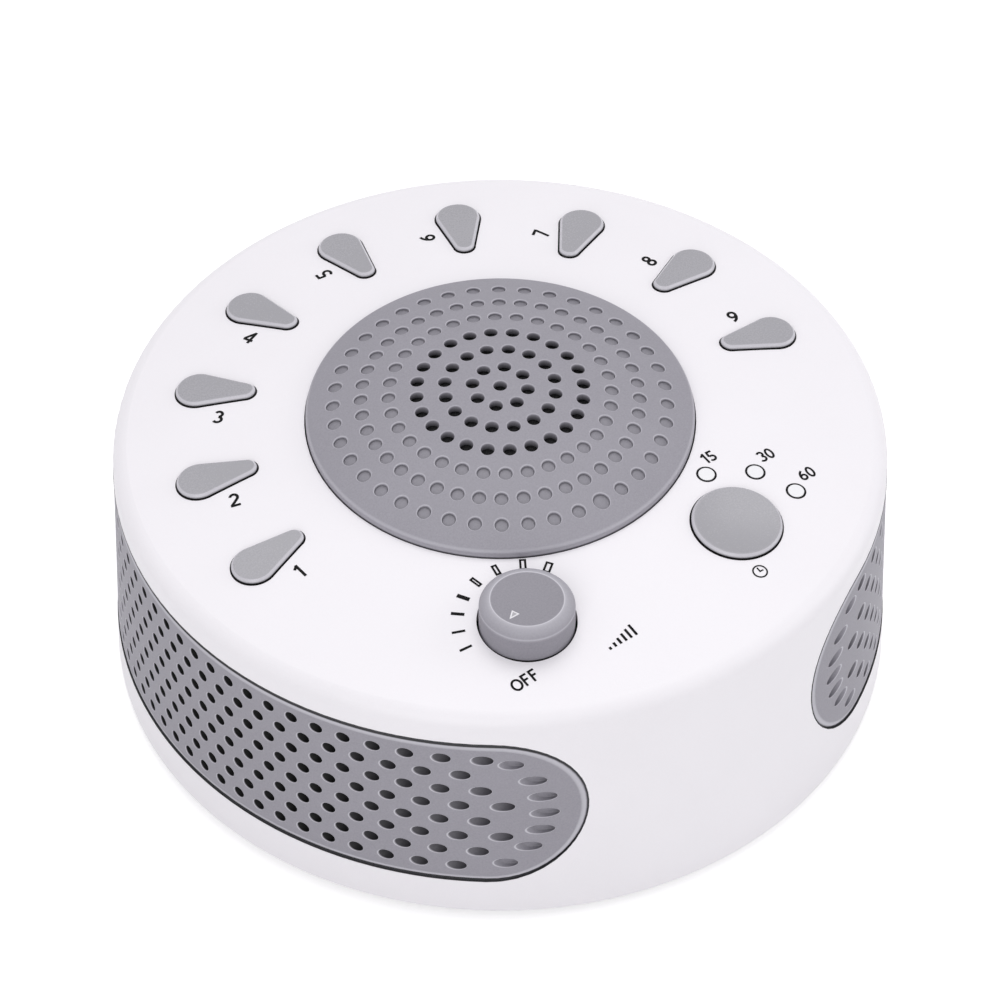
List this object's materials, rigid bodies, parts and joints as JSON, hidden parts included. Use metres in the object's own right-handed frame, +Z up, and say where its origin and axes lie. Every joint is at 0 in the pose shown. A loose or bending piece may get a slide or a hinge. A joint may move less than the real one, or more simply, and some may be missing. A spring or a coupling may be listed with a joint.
{
  "type": "white noise sound machine",
  "caption": "Round tabletop sound machine with a domed speaker grille, an arc of push buttons, a timer button with lights, a volume knob and wrapped side grilles.",
  "frame": {"origin": "under the middle of the round body, on the surface that the feet stand on", "axes": "+Z up out of the speaker dome; -Y towards the front, where the volume knob and the timer button are; +X to the right of someone facing the front"},
  "size_m": [0.146, 0.146, 0.0652],
  "materials": {
    "housing_white": "fine matt moulding texture",
    "base_white": "matt",
    "grille_grey": "fine matt moulding texture",
    "key_grey": "satin",
    "pointer_light": "satin",
    "scrim_black": "woven cloth",
    "switch_black": "matt",
    "lens_white": "clear satin",
    "led_white": "gloss",
    "board_green": "solder mask",
    "steel": "zinc plated",
    "pot_steel": "plated can",
    "basket_black": "satin paint",
    "foam_black": "foam",
    "surround_black": "soft",
    "cone_paper": "pressed paper",
    "coil_copper": "copper wire",
    "spider_cloth": "impregnated cloth",
    "ferrite": "ground ferrite",
    "inlet_black": "matt",
    "foot_rubber": "soft matt"
  },
  "bodies": {
    "housing": {"top_housing": "housing_white", "base_cover": "base_white", "dome_grille": "grille_grey", "side_grille_left": "grille_grey", "side_grille_right": "grille_grey", "dome_scrim": "scrim_black", "side_scrim_left": "scrim_black", "side_scrim_right": "scrim_black", "potentiometer_body": "pot_steel", "timer_lens_15": "lens_white", "timer_lens_30": "lens_white", "timer_lens_60": "lens_white", "timer_leds": "led_white", "control_board": "board_green", "tact_switches": "switch_black", "speaker_gasket": "foam_black", "speaker_basket": "basket_black", "speaker_surround": "surround_black", "speaker_cone": "cone_paper", "speaker_dust_cap": "cone_paper", "voice_coil": "coil_copper", "speaker_spider": "spider_cloth", "speaker_front_plate": "steel", "speaker_magnet": "ferrite", "speaker_yoke": "steel", "power_board": "board_green", "dc_inlet": "inlet_black", "rubber_foot_1": "foot_rubber", "rubber_foot_2": "foot_rubber", "rubber_foot_3": "foot_rubber", "rubber_foot_4": "foot_rubber", "base_screws": "steel", "board_screws": "steel", "speaker_screws": "steel"},
    "button_1": {"sound_button_1": "key_grey", "switch_plunger_1": "switch_black"},
    "button_2": {"sound_button_2": "key_grey", "switch_plunger_2": "switch_black"},
    "button_3": {"sound_button_3": "key_grey", "switch_plunger_3": "switch_black"},
    "button_4": {"sound_button_4": "key_grey", "switch_plunger_4": "switch_black"},
    "button_5": {"sound_button_5": "key_grey", "switch_plunger_5": "switch_black"},
    "button_6": {"sound_button_6": "key_grey", "switch_plunger_6": "switch_black"},
    "button_7": {"sound_button_7": "key_grey", "switch_plunger_7": "switch_black"},
    "button_8": {"sound_button_8": "key_grey", "switch_plunger_8": "switch_black"},
    "button_9": {"sound_button_9": "key_grey", "switch_plunger_9": "switch_black"},
    "timer": {"timer_button": "key_grey", "timer_plunger": "switch_black"},
    "knob": {"volume_knob": "grille_grey", "knob_pointer": "pointer_light", "potentiometer_shaft": "steel"}
  },
  "joints": [
    {"name": "button_1_press", "type": "slide", "parent": "housing", "child": "button_1", "axis": [-0.1306, -0.0146, 0.9913], "range_m": [-0.0006, 0], "stiffness_N_per_m": 1500},
    {"name": "button_2_press", "type": "slide", "parent": "housing", "child": "button_2", "axis": [-0.1252, 0.0399, 0.9913], "range_m": [-0.0006, 0], "stiffness_N_per_m": 1500},
    {"name": "button_3_press", "type": "slide", "parent": "housing", "child": "button_3", "axis": [-0.0979, 0.0876, 0.9913], "range_m": [-0.0006, 0], "stiffness_N_per_m": 1500},
    {"name": "button_4_press", "type": "slide", "parent": "housing", "child": "button_4", "axis": [-0.0536, 0.1199, 0.9913], "range_m": [-0.0006, 0], "stiffness_N_per_m": 1500},
    {"name": "button_5_press", "type": "slide", "parent": "housing", "child": "button_5", "axis": [0, 0.1314, 0.9913], "range_m": [-0.0006, 0], "stiffness_N_per_m": 1500},
    {"name": "button_6_press", "type": "slide", "parent": "housing", "child": "button_6", "axis": [0.0536, 0.1199, 0.9913], "range_m": [-0.0006, 0], "stiffness_N_per_m": 1500},
    {"name": "button_7_press", "type": "slide", "parent": "housing", "child": "button_7", "axis": [0.0979, 0.0876, 0.9913], "range_m": [-0.0006, 0], "stiffness_N_per_m": 1500},
    {"name": "button_8_press", "type": "slide", "parent": "housing", "child": "button_8", "axis": [0.1252, 0.0399, 0.9913], "range_m": [-0.0006, 0], "stiffness_N_per_m": 1500},
    {"name": "button_9_press", "type": "slide", "parent": "housing", "child": "button_9", "axis": [0.1306, -0.0146, 0.9913], "range_m": [-0.0006, 0], "stiffness_N_per_m": 1500},
    {"name": "timer_press", "type": "slide", "parent": "housing", "child": "timer", "axis": [0.0566, -0.112, 0.9921], "range_m": [-0.0006, 0], "stiffness_N_per_m": 1500},
    {"name": "volume_turn", "type": "hinge", "parent": "housing", "child": "knob", "pos_m": [-0.02263, -0.04481, 0.0555], "axis": [0, 0, 1], "range_deg": [-164, 30]}
  ]
}
